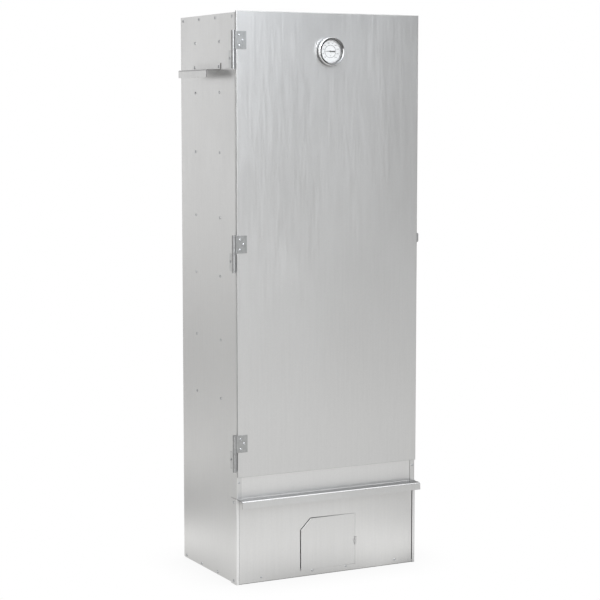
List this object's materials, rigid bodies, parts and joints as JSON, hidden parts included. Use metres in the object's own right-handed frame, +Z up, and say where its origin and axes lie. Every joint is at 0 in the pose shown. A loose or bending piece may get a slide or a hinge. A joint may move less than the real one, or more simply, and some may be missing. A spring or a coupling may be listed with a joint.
{
  "type": "electric cabinet smoker",
  "caption": "Tall sheet-metal cabinet smoker with a lift-off hinged door, dial thermometer, burner drawer with air flap, racks, hanging rods and an electric element.",
  "frame": {"origin": "on the floor, under the middle of the body's footprint, on the bottom panel's underside", "axes": "+Z up; -Y out of the front, towards someone who opens the door; +X to the right of someone who faces the door, so the hinges are on -X"},
  "size_m": [0.508, 0.3468, 1.218],
  "materials": {
    "coated_sheet": "satin aluminium-zinc coated sheet",
    "zinc_plated": "zinc plated, semi-bright",
    "rivet_metal": "bright aluminium",
    "bright_chrome": "polished chrome",
    "dial_white": "matt white enamel with printed scale",
    "dial_glass": "clear flat glass",
    "needle_black": "matt black",
    "stainless": "bright drawn stainless steel",
    "element_steel": "heat-tinted tubular element sheath",
    "inlet_plastic": "black moulded plastic"
  },
  "bodies": {
    "cabinet": {"back_panel": "coated_sheet", "bottom_panel": "coated_sheet", "cabinet_rivets": "rivet_metal", "damper_pivot": "zinc_plated", "drip_tray": "coated_sheet", "element_flange": "element_steel", "front_rail": "coated_sheet", "hanging_rods_1": "stainless", "hanging_rods_2": "stainless", "hanging_rods_3": "stainless", "heating_element": "element_steel", "hinge_pins": "zinc_plated", "hinge_side_leaf_1": "zinc_plated", "hinge_side_leaf_2": "zinc_plated", "hinge_side_leaf_3": "zinc_plated", "latch_base": "zinc_plated", "latch_pin": "zinc_plated", "left_side_panel": "coated_sheet", "lower_corner_left": "coated_sheet", "lower_corner_right": "coated_sheet", "power_inlet": "inlet_plastic", "rack_1": "stainless", "rack_2": "stainless", "rack_3": "stainless", "rack_rails_1": "coated_sheet", "rack_rails_2": "coated_sheet", "rack_rails_3": "coated_sheet", "rack_rails_4": "coated_sheet", "rack_rails_5": "coated_sheet", "rack_rails_6": "coated_sheet", "rack_rails_7": "coated_sheet", "right_side_panel": "coated_sheet", "side_handle_left": "coated_sheet", "side_handle_right": "coated_sheet", "terminal_cover": "coated_sheet", "top_panel": "coated_sheet"},
    "door": {"door_skin": "coated_sheet", "door_liner": "coated_sheet", "door_rivets": "rivet_metal", "hinge_door_leaf_1": "zinc_plated", "hinge_door_leaf_2": "zinc_plated", "hinge_door_leaf_3": "zinc_plated", "thermometer_case": "bright_chrome", "thermometer_dial": "dial_white", "thermometer_lens": "dial_glass", "thermometer_stem": "stainless", "thermometer_nut": "bright_chrome", "latch_keeper": "zinc_plated"},
    "needle": {"thermometer_needle": "needle_black"},
    "latch": {"latch_hook": "zinc_plated"},
    "drawer": {"drawer_front": "coated_sheet", "drawer_tray": "coated_sheet", "chip_pan": "coated_sheet", "drawer_rivets": "rivet_metal", "flap_fixed_leaf": "coated_sheet", "flap_pin": "zinc_plated"},
    "flap": {"air_flap": "coated_sheet", "flap_leaf": "coated_sheet"},
    "damper": {"vent_damper": "coated_sheet"}
  },
  "joints": [
    {"name": "door_hinge", "type": "hinge", "parent": "cabinet", "child": "door", "pos_m": [-0.2276, -0.1465, 0.7105], "axis": [0, 0, -1], "range_deg": [0, 225]},
    {"name": "needle_turn", "type": "hinge", "parent": "door", "child": "needle", "pos_m": [0, -0.149, 1.134], "axis": [0, 1, 0], "range_deg": [-45, 225]},
    {"name": "latch_swing", "type": "hinge", "parent": "cabinet", "child": "latch", "pos_m": [0.2226, -0.115, 0.74], "axis": [1, 0, 0], "range_deg": [0, 90]},
    {"name": "drawer_slide", "type": "slide", "parent": "cabinet", "child": "drawer", "axis": [0, -1, 0], "range_m": [0, 0.2]},
    {"name": "flap_hinge", "type": "hinge", "parent": "drawer", "child": "flap", "pos_m": [0.068, -0.1431, 0.066], "axis": [0, 0, 1], "range_deg": [-0.85, 110]},
    {"name": "damper_turn", "type": "hinge", "parent": "cabinet", "child": "damper", "pos_m": [0, 0.02, 1.2127], "axis": [0, 0, 1], "range_deg": [0, 30]}
  ]
}
